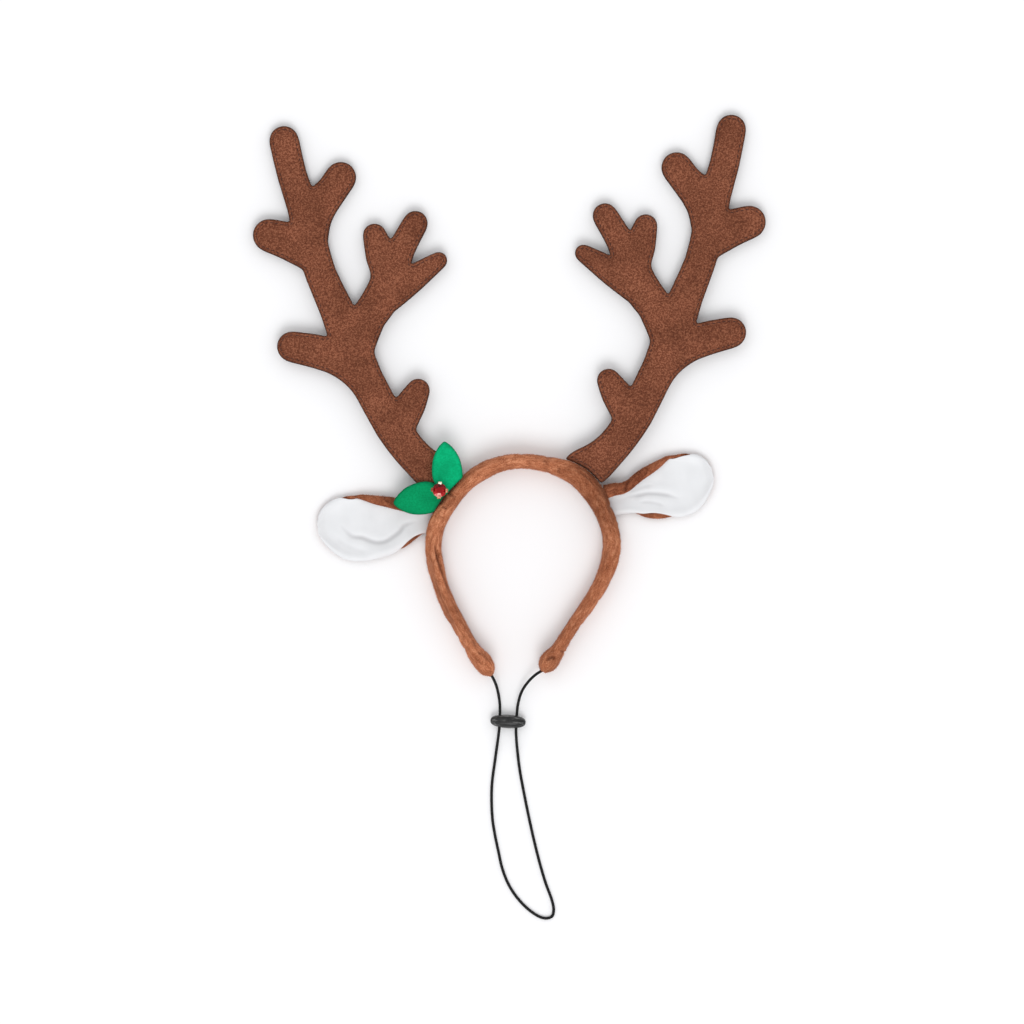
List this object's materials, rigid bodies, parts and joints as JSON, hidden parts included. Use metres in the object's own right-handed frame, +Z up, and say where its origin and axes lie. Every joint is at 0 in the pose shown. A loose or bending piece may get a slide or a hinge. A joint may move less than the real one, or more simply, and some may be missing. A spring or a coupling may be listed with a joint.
{
  "type": "pet antler headband",
  "caption": "Plush headband for a pet with brown felt antlers, white-lined ears, a holly sprig with a red stone, and an elastic chin cord with a slider",
  "frame": {"origin": "on the underside of the band, in the middle of its thickness at the crown of its arch", "axes": "headband lies flat: +X across the head, away from the antler with the holly, +Y from the chin cord to the antler tips, +Z up from the surface it lies on"},
  "size_m": [0.1989, 0.3122, 0.0146],
  "materials": {
    "band_plush": "short brushed plush",
    "antler_felt": "heathered wool felt",
    "ear_satin": "smooth white satin",
    "leaf_felt": "thin green felt",
    "setting_metal": "polished gold tone",
    "red_stone": "faceted and polished",
    "elastic": "covered round elastic",
    "slider_plastic": "moulded, half gloss"
  },
  "bodies": {
    "root": {"band": "band_plush", "antler_left_back": "antler_felt", "antler_left_front": "antler_felt", "antler_right_back": "antler_felt", "antler_right_front": "antler_felt", "ear_left_shell": "band_plush", "ear_left_lining": "ear_satin", "ear_right_shell": "band_plush", "ear_right_lining": "ear_satin", "holly_leaf_lower": "leaf_felt", "holly_leaf_upper": "leaf_felt", "holly_setting": "setting_metal", "holly_stone": "red_stone", "chin_cord": "elastic", "cord_slider": "slider_plastic"}
  },
  "joints": []
}
